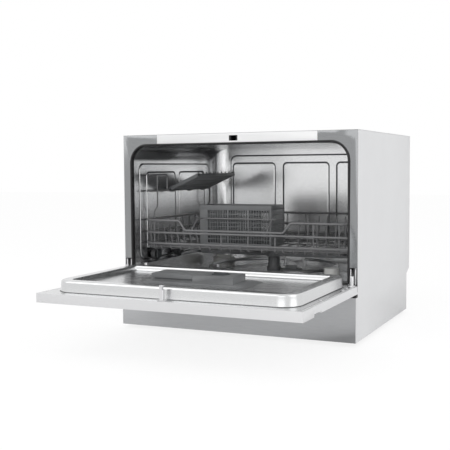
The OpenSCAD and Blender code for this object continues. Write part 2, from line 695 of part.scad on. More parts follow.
// ---- Door, drawn open ----
module door_panel() {
    lip_in = half_w - lip_w;
    color([0.87, 0.87, 0.88]) at_front() difference() {
        union() {
            block(-half_w, half_w, groove_end, -1, door_under, door_under + sheet_t);
            block(-half_w, half_w, -2, -1, door_under, door_under + 4.5);
            block(-half_w, half_w, groove_end, groove_end + sheet_t, door_under, door_under + 3.5);
            both_sides() {
                block(inner_w, half_w, groove_end, -3, door_under, door_top);
                block(inner_w, half_w, panel_end, groove_end, door_under + 3.5, door_top);
                block(lip_in, half_w, panel_end, -3, door_top - sheet_t, door_top);
            }
        }
        both_sides() block(notch_x0, notch_x1, notch_y, 5, door_under + 5, door_top + 1);
    }
}
module control_panel() {
    face_t = 2.5;
    color([0.88, 0.88, 0.89]) at_front() difference() {
        union() {
            block(-half_w, half_w, -door_reach, panel_end, panel_face, panel_face + face_t);
            block(-half_w, half_w, -door_reach, -door_reach + face_t, panel_face, door_top);
            block(-half_w, half_w, -door_reach, -door_reach + lip_w, door_top - sheet_t, door_top);
            block(-half_w, half_w, panel_end - face_t, panel_end, panel_face, door_under + 3);
            both_sides() {
                block(half_w - face_t, half_w, -door_reach, panel_end, panel_face, door_top);
                block(half_w - lip_w, half_w, -door_reach, panel_end, door_top - sheet_t, door_top);
                for (y = [-door_reach + 14, panel_end - 14]) pin_z(panel_face + 1, board_z, 130, y, 7);
            }
        }
        for (x = button_xs) pin_z(panel_face - 1, panel_face + face_t + 1, x, button_y, button_d + 0.4);
        block(-window_w / 2 - 0.1, window_w / 2 + 0.1, button_y - 9.1, button_y + 9.1, panel_face - 1, panel_face + face_t + 1);
    }
}
button_y = -door_reach + panel_h / 2;
button_xs = [-window_w / 2 - 10 - 1.5 * button_pitch, -window_w / 2 - 10 - button_pitch / 2,
    window_w / 2 + 10 + button_pitch / 2, window_w / 2 + 10 + 1.5 * button_pitch];
module button(i) {
    color([0.75, 0.76, 0.77]) at_front() {
        pin_z(panel_face - 0.6, board_z - button_travel - 0.4, button_xs[i], button_y, button_d);
        pin_z(panel_face + 2.5 + slack, panel_face + 3.7, button_xs[i], button_y, button_d + 3);
    }
}
module power_button() { button(0); }
module program_button() { button(1); }
module delay_button() { button(2); }
module start_button() { button(3); }
module display_window() {
    color([0.04, 0.04, 0.05]) at_front()
        block(-window_w / 2, window_w / 2, button_y - 9, button_y + 9, panel_face - 0.1, panel_face + 2.6);
}
module control_board() {
    color([0.1, 0.3, 0.15]) at_front()
        block(-140, 140, -door_reach + 8, panel_end - 8, board_z, board_z + 1.6);
}
module grip_channel() {
    color([0.35, 0.36, 0.37]) at_front() along_x(-half_w + 2.7, half_w - 2.7)
        polygon([[panel_end, door_under + 3.2], [panel_end, door_under + 8], [groove_end + 1.2, door_under + 8],
            [groove_end + 1.2, door_under + 1.2], [groove_end + 2.4, door_under + 1.2],
            [groove_end + 2.4, door_under + 9.2], [panel_end - 1.2, door_under + 9.2], [panel_end - 1.2, door_under + 3.2]]);
}
module rim_outline(inset) {
    round_rect(-rim_half + inset, rim_half - inset, rim_front + inset, rim_rear - inset,
        max(rim_far_r - inset, 4), max(rim_r - inset, 4));
}
module rim_wall(inset) { difference() { rim_outline(inset); rim_outline(inset + sheet_t); } }
module door_liner() {
    edge = half_w - lip_w - 0.2;
    color([0.80, 0.81, 0.82]) at_front() {
        along_z(door_top - sheet_t, door_top) difference() {
            translate([-edge, -door_reach + lip_w + 0.2]) square([2 * edge, door_reach - lip_w - 3]);
            rim_outline(sheet_t / 2);
            both_sides() translate([notch_x0, notch_y]) square([edge, 30]);
        }
        along_z(door_top - sheet_t, rim_top) rim_wall(0);
        along_z(rim_top - sheet_t, rim_top) difference() { rim_outline(0); rim_outline(rim_w); }
        along_z(recess_z - sheet_t, rim_top) rim_wall(rim_w - sheet_t);
        along_z(recess_z - sheet_t, recess_z) rim_outline(rim_w - sheet_t / 2);
    }
}
module liner_screws() {
    color([0.5, 0.5, 0.52]) at_front() both_sides()
        for (y = [-36, -66, -200]) pin_z(door_top, door_top + 1.4, (mouth_half + half_w - lip_w) / 2, y, 6);
}
module dispenser_body() {
    wall = 3;
    x1 = disp_x + disp_w;
    low = disp_top - lid_h - 0.4;
    color([0.36, 0.39, 0.40]) at_front() difference() {
        union() {
            block(disp_x, disp_x + lid_w, disp_y + 2.2, disp_y + disp_d - 2.2, recess_z, low - 2.4);
            block(disp_x + lid_w, x1, disp_y, disp_y + disp_d, recess_z, disp_top);
            along_y(disp_y - 12, disp_y + disp_d + 14)
                polygon([[disp_x - 14, recess_z], [disp_x - 8, recess_z + 3], [x1 + 10, recess_z + 3], [x1 + 34, recess_z]]);
            block(disp_x + 6, disp_x + lid_w, disp_y + 5, disp_y + disp_d - 5, low - 2.4, low);
        }
        block(disp_x + 10, disp_x + lid_w - 6, disp_y + 9, disp_y + disp_d - 9, recess_z + 2, disp_top + 1);
        pin_z(disp_top - 8, disp_top + 1, x1 - 40, disp_y + disp_d / 2, rinse_d + 1);
    }
}
module dispenser_lid() {
    low = disp_top - lid_h;
    color([0.42, 0.45, 0.46]) at_front() difference() {
        block(disp_x - 0.5, disp_x + lid_w - 0.4, disp_y, disp_y + disp_d, low, disp_top);
        block(disp_x + 4, disp_x + lid_w + 1, disp_y + 3, disp_y + disp_d - 3, low - 1, disp_top - 3);
        block(disp_x - 2, disp_x + 5, disp_y + 4, disp_y + disp_d - 4, low - 1, low + 0.6);
    }
}
module rinse_aid_cap() {
    color([0.25, 0.26, 0.27]) at_front() translate([disp_x + disp_w - 40, disp_y + disp_d / 2, 0]) {
        translate([0, 0, disp_top - 8 + slack]) cylinder(d = rinse_d, h = 9);
        translate([-rinse_d / 2 + 4, -2.5, disp_top + 1]) cube([rinse_d - 8, 5, 3]);
    }
}

// ---- Rack, drawn pushed in ----
module rack_rims() {
    $fn = 36;
    top = ledge_z + top_rim_up;
    dip = top - rim_dip;
    bend = 8;
    color([0.42, 0.43, 0.44]) at_front() {
        wire([[0, rim_y1, top, 0], [-rim_x, rim_y1, top, 25], [-rim_x, rim_y0, top, 25], [-156, rim_y0, top, bend],
            [-156 + 0.75 * rim_dip, rim_y0, dip, bend], [98, rim_y0, dip, bend],
            [98 + 0.75 * rim_dip, rim_y0, top, bend], [rim_x, rim_y0, top, 25], [rim_x, rim_y1, top, 25],
            [0, rim_y1, top, 0]], rim_wire);
        // The lower bars stop short of the tub's round back corner.
        for (z = [ledge_z + mid_rim_up, ledge_z + low_rim_up])
            wire([[rim_x, rim_y0, z, 0], [-rim_x, rim_y0, z, 25], [-rim_x, rim_y1, z, 25], [rim_x - 14, rim_y1, z, 0]], rim_wire);
        rod([rim_x, rim_y0 + rim_wire + touch, ledge_z + 57.6], [rim_x, rim_y1 - 14, ledge_z + 57.6], rim_wire);
    }
}
post_x = rim_x - 25.75; // the last posts before the rims' bends
tall_posts = [-post_x, -51, 14, 78, 165, post_x];
short_posts = [for (i = [0 : 17]) let (x = 18 - post_x + 25 * i) if (min([for (t = tall_posts) abs(t - x)]) > 9 && x < post_x) x];
side_posts = [for (u = [28, 62, 112, 183, 252, 312, 362]) if (u < rack_d - 25) rack_in + u];
module rack_wires() {
    y0 = rim_y0 + lay;
    y1 = rim_y1 - lay;
    x1 = rim_x - lay;
    top = ledge_z + top_rim_up;
    knee = top - rim_dip + 4;
    bar_y = basket_y - 5;
    color([0.42, 0.43, 0.44]) at_front() {
        for (x = tall_posts) let (head = x > -143 && x < 100 ? top - rim_dip : top)
            wire([[x, y0, head, 0], [x, y0, floor_z, 5], [x, y1, floor_z, 5], [x, y1, top, 0]], wire_d);
        for (x = short_posts) let (head = ledge_z + low_rim_up + 1)
            wire([[x, y0, head, 0], [x, y0, floor_z, 5], [x, y1, floor_z, 5], [x, y1, head, 0]], wire_d);
        for (y = side_posts) wire([[-x1, y, top, 0], [-x1, y, cross_z, 5], [x1, y, cross_z, 5], [x1, y, top, 0]], wire_d);
        // Guard bar in front of the cutlery basket.
        wire([[-124, y0, ledge_z + mid_rim_up - 2, 0], [-124, y0, knee, 6], [-124, y0 + 28, knee + 21, 6],
            [-124, bar_y, knee + 21, 6], [60, bar_y, knee + 21, 6], [60, y0 + 28, knee + 21, 6],
            [60, y0, knee, 6], [60, y0, ledge_z + mid_rim_up - 2, 0]], wire_d);
        // Frame of the cup shelf, on the left side.
        for (u = [[rack_in + 44, shelf_z + 38], [shelf_y + shelf_len + 14, shelf_z + 4]])
            wire([[-x1, u[0], floor_z + 10, 0], [-x1, u[0], top + 18, 6], [-x1 + 9, u[0], top + 30, 6],
                [-x1 + 9, u[0], u[1], 0]], wire_d);
        wire([[shelf_x, rack_in + 16, shelf_z + 38, 0], [shelf_x, rack_in + 98, shelf_z + 38, 8],
            [shelf_x, rack_in + 98, shelf_z + rim_wire / 2 + touch, 0]], rim_wire);
        rod([shelf_x, rack_in + 16, shelf_z], [shelf_x, shelf_y + shelf_len + 18, shelf_z], rim_wire);
    }
}
module rack_tines() {
    base = cross_z + wire_d / 2 + seat;
    color([0.42, 0.43, 0.44]) at_front() {
        for (y = [side_posts[1], side_posts[3]], i = [0 : 5]) let (x = 17 * i - post_x)
            rod([x, y, base], [x - 6, y, base + 40], wire_d);
        for (y = [side_posts[2], side_posts[4]], i = [0 : 6]) let (x = post_x + 2 - 22 * i)
            rod([x, y, base], [x + 3, y, base + 62], wire_d);
    }
}
module wheel_brackets() {
    plate_x = wheel_x - 5.5;
    color([0.36, 0.37, 0.38]) at_front() both_sides() for (y = wheel_ys) {
        block(plate_x, plate_x + 4, y - 9, y + 9, wheel_z - 8, floor_z - wire_d / 2 - touch);
        block(post_x - 3, plate_x + 1, y - 9, y + 9, floor_z - wire_d / 2 - touch - 2, floor_z - wire_d / 2 - touch);
        pin_x(plate_x + 2, wheel_x + wheel_w + 0.6, y, wheel_z, axle_d);
        pin_x(wheel_x + wheel_w + 0.4, wheel_x + wheel_w + 1.6, y, wheel_z, axle_d + 2);
        pin_x(plate_x + 3, wheel_x - 0.4, y, wheel_z, axle_d + 5);
    }
}
module wheel_pair(y) {
    groove = wheel_w - 4;
    color([0.45, 0.46, 0.47]) at_front() both_sides() translate([wheel_x, y, wheel_z]) rotate([0, 90, 0]) difference() {
        cylinder(d = wheel_d, h = wheel_w);
        translate([0, 0, -1]) cylinder(d = axle_d + 2 * slack, h = wheel_w + 2);
        translate([0, 0, wheel_w - 3]) difference() {
            cylinder(d = wheel_d - 6, h = 4);
            translate([0, 0, -1]) cylinder(d = axle_d + 5, h = 6);
            for (a = [0 : 60 : 300]) rotate([0, 0, a]) translate([0, -1, -1]) cube([wheel_d, 2, 6]);
        }
        translate([0, 0, -1]) difference() {
            cylinder(d = wheel_d - 6, h = 4);
            translate([0, 0, -1]) cylinder(d = axle_d + 5, h = 6);
        }
    }
}
module front_wheels() { wheel_pair(wheel_ys[0]); }
module middle_wheels() { wheel_pair(wheel_ys[1]); }
module rear_wheels() { wheel_pair(wheel_ys[2]); }
module cup_shelf() {
    bore = rim_wire + 2 * slack;
    color([0.38, 0.39, 0.40]) at_front() translate([shelf_x, 0, shelf_z]) rotate([0, -shelf_tilt, 0]) difference() {
        union() {
            along_y(shelf_y, shelf_y + shelf_len) polygon([[3, 2], [6, -4], [shelf_w, -4], [shelf_w, 2], [shelf_w - 2, 2],
                [shelf_w - 2, -2], [6, -2], [6, 2]]);
            for (y = [shelf_y, shelf_y + shelf_len - 3]) block(5, shelf_w, y, y + 3, -4, 4);
            for (y = [shelf_y + 12, shelf_y + shelf_len / 2, shelf_y + shelf_len - 28]) {
                pin_y(y, y + 16, 0, 0, rim_wire + 5);
                block(0, 8, y, y + 16, -4, 2);
            }
        }
        pin_y(shelf_y - 1, shelf_y + shelf_len + 1, 0, 0, bore);
        for (i = [0 : 8]) block(12, shelf_w - 8, shelf_y + 9 + i * (shelf_len - 18) / 9, shelf_y + 9 + (i + 0.7) * (shelf_len - 18) / 9, -5, 0);
    }
}
module cutlery_basket() {
    x1 = basket_x + basket_w;
    y1 = basket_y + basket_d;
    top = basket_z + basket_h;
    cols = 8;
    cell = (basket_w - 36) / cols;
    color([0.45, 0.46, 0.47]) at_front() difference() {
        union() {
            difference() {
                block(basket_x, x1, basket_y, y1, basket_z, top);
                block(basket_x + basket_wall, x1 - basket_wall, basket_y + basket_wall, y1 - basket_wall,
                    basket_z + basket_wall, top + 1);
            }
            for (x = [basket_x + basket_w / 3, basket_x + basket_w * 2 / 3])
                block(x - 1, x + 1, basket_y + 1, y1 - 1, basket_z + 1, top - 8);
        }
        for (i = [0 : cols - 1], row = [0 : 2])
            block(basket_x + 18 + i * cell + 1.5, basket_x + 18 + (i + 1) * cell - 1.5, basket_y - 1, y1 + 1,
                basket_z + 12 + row * 22, basket_z + 30 + row * 22);
    }
}

base_tray();
kick_plate();
feet();
left_side_panel();
right_side_panel();
top_panel();
rear_panel();
front_frame();
upper_beam();
tub();
tub_floor();
tub_gasket();
lower_seal();
hinge_brackets();
hinge_pins();
door_lock();
latch_catch();
sump();
filter_plate();
filter_cylinder();
spray_hub();
spray_arm();
heater();
circulation_pump();
circulation_impeller();
drain_pump();
drain_impeller();
softener_tank();
softener_cap();
float();
float_switch();
inlet_valve();
drain_outlet();
cable_gland();
case_screws();
door_panel();
control_panel();
grip_channel();
door_liner();
hinge_arms();
latch_hook();
liner_screws();
dispenser_body();
dispenser_lid();
rinse_aid_cap();
display_window();
power_button();
program_button();
delay_button();
start_button();
control_board();
rack_rims();
rack_wires();
rack_tines();
wheel_brackets();
front_wheels();
middle_wheels();
rear_wheels();
cup_shelf();
cutlery_basket();
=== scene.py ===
import json
import math

import bmesh
import bpy
import numpy as np
from mathutils import Matrix, Vector
from mathutils.geometry import tessellate_polygon


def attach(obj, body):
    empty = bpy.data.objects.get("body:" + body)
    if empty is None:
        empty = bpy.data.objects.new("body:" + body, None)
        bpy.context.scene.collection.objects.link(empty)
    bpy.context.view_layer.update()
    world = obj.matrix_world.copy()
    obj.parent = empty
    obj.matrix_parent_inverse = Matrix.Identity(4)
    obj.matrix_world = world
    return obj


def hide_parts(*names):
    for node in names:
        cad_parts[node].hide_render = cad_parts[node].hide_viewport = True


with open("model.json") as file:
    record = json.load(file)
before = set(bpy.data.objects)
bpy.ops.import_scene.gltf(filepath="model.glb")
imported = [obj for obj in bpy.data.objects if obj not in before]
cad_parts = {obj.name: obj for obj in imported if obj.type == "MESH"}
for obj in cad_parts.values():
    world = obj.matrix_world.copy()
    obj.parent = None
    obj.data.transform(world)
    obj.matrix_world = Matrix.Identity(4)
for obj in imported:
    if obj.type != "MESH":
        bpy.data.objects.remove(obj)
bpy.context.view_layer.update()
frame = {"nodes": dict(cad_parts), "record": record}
nodes = frame["nodes"]
scene = bpy.context.scene
FY = -68.8  # the front frame in the part's frame, mm


# ---- Shader expressions ----
class Ex:
    """A socket of a node tree that can be added, subtracted and multiplied."""

    def __init__(self, tree, socket):
        self.tree = tree
        self.socket = socket

    def _math(self, op, other=0.0, clamp=False):
        n = self.tree.nodes.new("ShaderNodeMath")
        n.operation = op
        n.use_clamp = clamp
        for i, v in enumerate((self, other)):
            if isinstance(v, Ex):
                self.tree.links.new(v.socket, n.inputs[i])
            else:
                n.inputs[i].default_value = v
        return Ex(self.tree, n.outputs[0])

    def __add__(self, o): return self._math("ADD", o)
    def __radd__(self, o): return self._math("ADD", o)
    def __sub__(self, o): return self._math("SUBTRACT", o)
    def __mul__(self, o): return self._math("MULTIPLY", o)
    def __rmul__(self, o): return self._math("MULTIPLY", o)
    def clamp(self): return self._math("ADD", 0.0, clamp=True)

    def ramp(self, low, high):
        """0 below low, 1 above high, smooth between."""
        n = self.tree.nodes.new("ShaderNodeMapRange")
        n.interpolation_type = "SMOOTHSTEP"
        n.inputs["From Min"].default_value = low
        n.inputs["From Max"].default_value = high
        self.tree.links.new(self.socket, n.inputs["Value"])
        return Ex(self.tree, n.outputs["Result"])


class Shade:
    """A material with a Principled shader and the few nodes that it is made with."""

    def __init__(self, name):
        self.mat = bpy.data.materials.new(name)
        self.mat.use_nodes = True
        self.tree = self.mat.node_tree
        self.bsdf = self.tree.nodes["Principled BSDF"]
        self._coords = None

    def coords(self):
        if self._coords is None:
            self._coords = self.tree.nodes.new("ShaderNodeTexCoord").outputs["Object"]
        return self._coords

    def stretched(self, sx, sy, sz):
        m = self.tree.nodes.new("ShaderNodeMapping")
        m.inputs["Scale"].default_value = (sx, sy, sz)
        self.tree.links.new(self.coords(), m.inputs["Vector"])
        return m.outputs["Vector"]

    def noise(self, scale, detail=2.0, rough=0.5, vector=None):
        n = self.tree.nodes.new("ShaderNodeTexNoise")
        n.inputs["Scale"].default_value = scale
        n.inputs["Detail"].default_value = detail
        n.inputs["Roughness"].default_value = rough
        self.tree.links.new(vector or self.coords(), n.inputs["Vector"])
        return Ex(self.tree, n.outputs["Fac"])

    def cells(self, scale):
        n = self.tree.nodes.new("ShaderNodeTexVoronoi")
        n.feature = "F1"
        n.inputs["Scale"].default_value = scale
        self.tree.links.new(self.coords(), n.inputs["Vector"])
        return Ex(self.tree, n.outputs["Distance"])

    def mix(self, a, b, factor):
        """From colour a to colour b by a factor that varies."""
        n = self.tree.nodes.new("ShaderNodeMix")
        n.data_type = "RGBA"
        for key, v in (("A", a), ("B", b)):
            sockets = [s for s in n.inputs if s.name == key and s.type == "RGBA"]
            sockets[0].default_value = (*v, 1.0)
        f = [s for s in n.inputs if s.name == "Factor" and s.type == "VALUE"][0]
        self.tree.links.new(factor.socket, f)
        return Ex(self.tree, [s for s in n.outputs if s.type == "RGBA"][0])

    def bump(self, height, distance, strength):
        n = self.tree.nodes.new("ShaderNodeBump")
        n.inputs["Distance"].default_value = distance
        n.inputs["Strength"].default_value = strength
        self.tree.links.new(height.socket, n.inputs["Height"])
        self.tree.links.new(n.outputs["Normal"], self.bsdf.inputs["Normal"])
        return self

    def set(self, **values):
        for key, v in values.items():
            socket = self.bsdf.inputs[key.replace("_", " ")]
            if isinstance(v, Ex):
                self.tree.links.new(v.socket, socket)
            elif isinstance(v, tuple):
                socket.default_value = (*v, 1.0)
            else:
                socket.default_value = v
        return self


def paint(name, color, rough, flake=0.0, metallic=0.0, coat=0.0):
    s = Shade(name)
    cloud = s.noise(9, 3)
    peel = s.noise(900, 2)
    s.set(Base_Color=s.mix(color, tuple(c * 0.98 for c in color), cloud.ramp(0.35, 0.7)),
          Roughness=rough + (s.noise(55, 3) - 0.5) * 0.09,
          Metallic=metallic, Coat_Weight=coat, Coat_Roughness=0.2)
    return s.bump(peel + flake * s.cells(2600), 0.00006, 0.35).mat


def brushed(name, color, rough, along=(1, 60, 60), depth=0.00004, strength=0.35):
    s = Shade(name)
    fine = s.noise(34, 4, 0.65, s.stretched(*along))
    wide = s.noise(7, 3)
    s.set(Base_Color=s.mix(color, tuple(c * 0.9 for c in color), fine.ramp(0.3, 0.75)),
          Roughness=(rough + (fine - 0.5) * 0.16 + (wide - 0.5) * 0.08).clamp(), Metallic=1.0)
    return s.bump(fine, depth, strength).mat


def plastic(name, color, rough, grain=1500, depth=0.00005, spec=0.45):
    s = Shade(name)
    mottle = s.noise(20, 3)
    s.set(Base_Color=s.mix(color, tuple(c * 0.86 for c in color), mottle.ramp(0.35, 0.7)),
          Roughness=(rough + (s.noise(130, 3) - 0.5) * 0.12).clamp(), Specular_IOR_Level=spec)
    return s.bump(s.noise(grain, 3), depth, 0.5).mat


MATS = {
    "silver_paint": paint("silver_paint", (0.755, 0.76, 0.77), 0.42, 0.3, 0.15),
    "kick_steel": brushed("kick_steel", (0.43, 0.435, 0.445), 0.42, (1, 40, 40)),
    "frame_steel": brushed("frame_steel", (0.295, 0.301, 0.307), 0.17, (1, 50, 50), 0.000006),
    "tub_steel": brushed("tub_steel", (0.82, 0.825, 0.83), 0.22, (14, 14, 14), 0.00001, 0.2),
    "liner_steel": brushed("liner_steel", (0.68, 0.685, 0.69), 0.26, (1.5, 60, 60), 0.000008, 0.2),
    # dark steel that paints shade: the sunk lines of the tub's pressings and the crease at the rim's foot are drawn
    # in it
    "painted_shade_steel": brushed("painted_shade_steel", (0.12, 0.122, 0.125), 0.4, (14, 14, 14), 0.00001, 0.2),
    "zinc_steel": brushed("zinc_steel", (0.68, 0.68, 0.69), 0.34, (20, 20, 20)),
    "silver_plastic": paint("silver_plastic", (0.735, 0.735, 0.745), 0.32, 0.2, 0.1, 0.25),
    # the upper beam's paint, lighter than silver_plastic as a painted reflection across the middle of the front
    # frame
    "beam_plastic_painted_sheen": paint("beam_plastic_painted_sheen", (0.89, 0.892, 0.895), 0.32, 0.2, 0.1, 0.25),
    "black_plastic": plastic("black_plastic", (0.022, 0.022, 0.024), 0.5),
    "dark_plastic": plastic("dark_plastic", (0.05, 0.054, 0.058), 0.42),
    "gray_plastic": plastic("gray_plastic", (0.185, 0.19, 0.195), 0.4),
    "wheel_plastic": plastic("wheel_plastic", (0.05, 0.051, 0.053), 0.36),
    "white_plastic": plastic("white_plastic", (0.72, 0.72, 0.70), 0.42),
    "button_plastic": plastic("button_plastic", (0.52, 0.53, 0.54), 0.25),
    "black_rubber": plastic("black_rubber", (0.013, 0.013, 0.014), 0.58, 700, 0.00008),
    "coated_wire": plastic("coated_wire", (0.19, 0.19, 0.195), 0.3, 420, 0.0001, 0.55),
    "window": plastic("window", (0.006, 0.006, 0.008), 0.06, 200, 0.00001),
    "board": plastic("board", (0.012, 0.075, 0.03), 0.4),
}
SMOOTH_ANGLE = math.radians(35)  # sharper corners than this stay edges
# nodes drawn in another material than the one of their slot: the wheels in a darker plastic, and the upper beam, a
# real part of its own, in a lighter copy of silver_plastic whose extra lightness is a painted reflection of the
# white surroundings
FINISH = {"front_wheels": "wheel_plastic", "middle_wheels": "wheel_plastic", "rear_wheels": "wheel_plastic",
          "upper_beam": "beam_plastic_painted_sheen"}
for entry in frame["record"]["subparts"]:
    o = nodes[entry["node"]]
    o.data.materials.clear()
    o.data.materials.append(MATS[FINISH.get(entry["node"], entry["material_slot"])])
    for p in o.data.polygons:
        p.use_smooth = True
    o.modifiers.new("soften", "EDGE_SPLIT").split_angle = SMOOTH_ANGLE


# ---- Mesh tools: points in mm, measured from the middle of the front frame ----
def ring(x0, x1, y0, y1, r, n=8, r_top=None):
    """A rounded rectangle as a closed row of points; r_top is the radius of its two corners at y1."""
    rt = r if r_top is None else r_top
    pts = []
    corners = ((x1 - rt, y1 - rt, 0, rt), (x0 + rt, y1 - rt, 90, rt),
               (x0 + r, y0 + r, 180, r), (x1 - r, y0 + r, 270, r))
    for cx, cy, a0, q in corners:
        for i in range(n + 1):
            a = math.radians(a0 + 90 * i / n)
            pts.append((cx + q * math.cos(a), cy + q * math.sin(a)))
    return np.array(pts)


def place(pts, plane, h):
    """A flat row of points put in a plane at height h: xy, xz or yz."""
    h = np.full(len(pts), float(h))
    a, b = pts[:, 0], pts[:, 1]
    return np.column_stack({"xy": (a, b, h), "xz": (a, h, b), "yz": (h, a, b)}[plane])


def loft(rows, start=False, end=False, closed=True):
    """Faces between rows of equally many points, with caps at the start and the end if asked."""
    n = len(rows[0])
    verts = np.concatenate(rows)
    faces = []
    for i in range(len(rows) - 1):
        for j in range(n if closed else n - 1):
            k = (j + 1) % n
            faces.append((i * n + j, i * n + k, (i + 1) * n + k, (i + 1) * n + j))
    if start:
        faces.append(tuple(range(n - 1, -1, -1)))
    if end:
        faces.append(tuple(range((len(rows) - 1) * n, len(rows) * n)))
    return verts, faces


def arc(cx, cy, r, a0, a1, n=5):
    """Points on a circle of radius r from angle a0 to a1, in degrees."""
    angles = [math.radians(a0 + (a1 - a0) * i / n) for i in range(n + 1)]
    return [(cx + r * math.cos(a), cy + r * math.sin(a)) for a in angles]


def slab(x0, x1, y0, y1, z0, z1, r=0.8, b=0.5, plane="xy", n=4):
    """A block with rounded corners r and rounded edges b. plane is the one that its corners are rounded in."""
    lo, hi = {"xy": ((x0, x1, y0, y1), (z0, z1)),
              "xz": ((x0, x1, z0, z1), (y0, y1)),
              "yz": ((y0, y1, z0, z1), (x0, x1))}[plane]
    b = min(b, (hi[1] - hi[0]) / 2 - 1e-3, (lo[1] - lo[0]) / 2 - 1e-3, (lo[3] - lo[2]) / 2 - 1e-3)
    r = max(r, b + 0.01)
    steps = [(b * (1 - math.cos(a)), b * (1 - math.sin(a))) for a in np.linspace(0, math.pi / 2, 3)]
    prof = [(steps[k][1], hi[0] + steps[k][0]) for k in range(3)]
    prof += [(steps[k][1], hi[1] - steps[k][0]) for k in (2, 1, 0)]
    rows = [place(ring(lo[0] + i, lo[1] - i, lo[2] + i, lo[3] - i, max(r - i, 0.01), n), plane, h)
            for i, h in prof]
    return loft(rows, True, True)


def turned(profile, centre, n):
    """A profile of (radius, height) turned round the y axis through centre."""
    angles = np.radians(np.linspace(0.0, 360.0, n, endpoint=False))
    prof = np.array(profile, float)
    verts = []
    for a in angles:
        c, s_ = prof[:, 0] * math.cos(a), prof[:, 0] * math.sin(a)
        h = prof[:, 1]
        verts.append(np.column_stack((s_, h, c)) + centre)
    k = len(prof)
    faces = []
    for i in range(n):
        j = (i + 1) % n
        for q in range(k - 1):
            faces.append((i * k + q, j * k + q, j * k + q + 1, i * k + q + 1))
    return np.concatenate(verts), faces


def mirror(part):
    """The same form on the other side of x = 0, with its faces turned back outwards."""
    v, f = part
    return v * [-1, 1, 1], [tuple(reversed(q)) for q in f]


def both(*parts):
    """Parts and their mirror images."""
    return list(parts) + [mirror(p) for p in parts]


def spun(part, angle, centre):
    """A part turned by an angle in degrees round the y axis through centre."""
    m = np.array(Matrix.Rotation(math.radians(angle), 3, "Y"))
    return (part[0] - centre) @ m.T + centre, part[1]


def piece(name, parts, mat, body, replaced=(), angle=35):
    """A mesh object made of parts, riding on a body; angle is where its shading breaks, in degrees."""
    verts, faces, k = [], [], 0
    for v, f in parts:
        verts.append(v)
        faces += [tuple(i + k for i in q) for q in f]
        k += len(v)
    mesh = bpy.data.meshes.new(name)
    mesh.from_pydata(((np.concatenate(verts) + [0, FY, 0]) / 1000).tolist(), [], faces)
    mesh.validate()
    mesh.polygons.foreach_set("use_smooth", [True] * len(mesh.polygons))
    mesh.materials.append(MATS[mat])
    o = bpy.data.objects.new(name, mesh)
    scene.collection.objects.link(o)
    o.modifiers.new("edges", "EDGE_SPLIT").split_angle = math.radians(angle)
    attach(o, body)
    if replaced:
        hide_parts(*replaced)
    return o


def plate(outer, holes, h0, h1, plane="xy"):
    """A flat sheet from h0 to h1 with holes."""
    loops = [np.array(outer, float)] + [np.array(q, float) for q in holes]
    flat = np.concatenate(loops)
    tris = tessellate_polygon([[Vector((*q, 0)) for q in l] for l in loops])
    k = len(flat)
    verts = np.concatenate([place(flat, plane, h0), place(flat, plane, h1)])
    faces = [tuple(t) for t in tris] + [tuple(k + i for i in reversed(t)) for t in tris]
    base = 0
    for l in loops:
        n = len(l)
        for i in range(n):
            a, b = base + i, base + (i + 1) % n
            faces.append((a, b, b + k, a + k))
        base += n
    return verts, faces


def outward(o):
    """Makes all faces of a closed piece look outwards."""
    bm = bmesh.new()
    bm.from_mesh(o.data)
    bmesh.ops.recalc_face_normals(bm, faces=bm.faces)
    bm.to_mesh(o.data)
    bm.free()
    return o


# ---- Door liner: one pressing with a raised rim and a sunken middle ----
RIM_X, RIM_FRONT, RIM_REAR = 252.5, -299.3, -8  # the raised rim's outer faces
RIM_R, RIM_R_REAR, RIM_R_MIN = 37, 28, 5  # radii of its front and rear corners, and the least one
LINER_Z = 123  # upper face of the liner's flange
FLANGE_X, FLANGE_FRONT = 267.8, -316.8
HINGE_X, HINGE_FRONT, HINGE_REAR = 256.4, -16, -3  # where the flange steps in for the hinge arms


def rim(inset, z):
    """The rim's outline, moved inwards by inset."""
    outline = ring(-RIM_X + inset, RIM_X - inset, RIM_FRONT + inset, RIM_REAR - inset,
                   max(RIM_R - inset, RIM_R_MIN), 12, max(RIM_R_REAR - inset, RIM_R_MIN))
    return place(outline, "xy", z)


# inset and height of each row: foot, outer wall, crest, and down again to the sunken middle
press = [(-5, LINER_Z), (-1.1, 123.05), (-0.5, 123.4), (-0.1, 124.2), (0.5, 141)]
press += [(i, z) for i, z in arc(5.5, 141, 5, 180, 90, 6)][1:]
press += [(i, z) for i, z in arc(20, 142, 4, 90, 0, 5)]
press += [(i, z) for i, z in arc(29.5, 140, 5, 180, 270, 5)]
flange = [(-FLANGE_X, FLANGE_FRONT), (FLANGE_X, FLANGE_FRONT), (FLANGE_X, HINGE_FRONT), (HINGE_X, HINGE_FRONT),
          (HINGE_X, HINGE_REAR), (-HINGE_X, HINGE_REAR), (-HINGE_X, HINGE_FRONT), (-FLANGE_X, HINGE_FRONT)]
outward(piece("liner", [loft([rim(i, z) for i, z in press], end=True),
                        plate(flange, [rim(-5, 0)[:, :2]], LINER_Z - 1, LINER_Z)],
              "liner_steel", "door", ["door_liner"], 40))

# A dark strip at the rim's foot, painted shade in the crease where the rim meets the flange. It stays clear of the
# gasket when the door is closed.
foot_shade = [(-2.6, 123.02), (-2.4, 123.12), (-1.1, 123.16), (-0.6, 123.5), (-0.15, 124.3)]
piece("liner_foot_shade", [loft([rim(i, z) for i, z in foot_shade])], "painted_shade_steel", "door")


# ---- Gasket: a hollow bead on a tail that sits between the frame and the tub ----
MOUTH_X, MOUTH_TOP, MOUTH_R = 257.5, 417.5, 42
SEAL_BOTTOM = 126.2


def seal_row(inset, y):
    """One line of the seal's section, up one side of the mouth, over the top and down the other."""
    x, top, r_ = MOUTH_X - inset, MOUTH_TOP - inset, MOUTH_R - inset
    right = arc(x - r_, top - r_, r_, 0, 90, 14)
    left = arc(-x + r_, top - r_, r_, 90, 180, 14)
    return place(np.array([(x, SEAL_BOTTOM)] + right + left + [(-x, SEAL_BOTTOM)]), "xz", y)


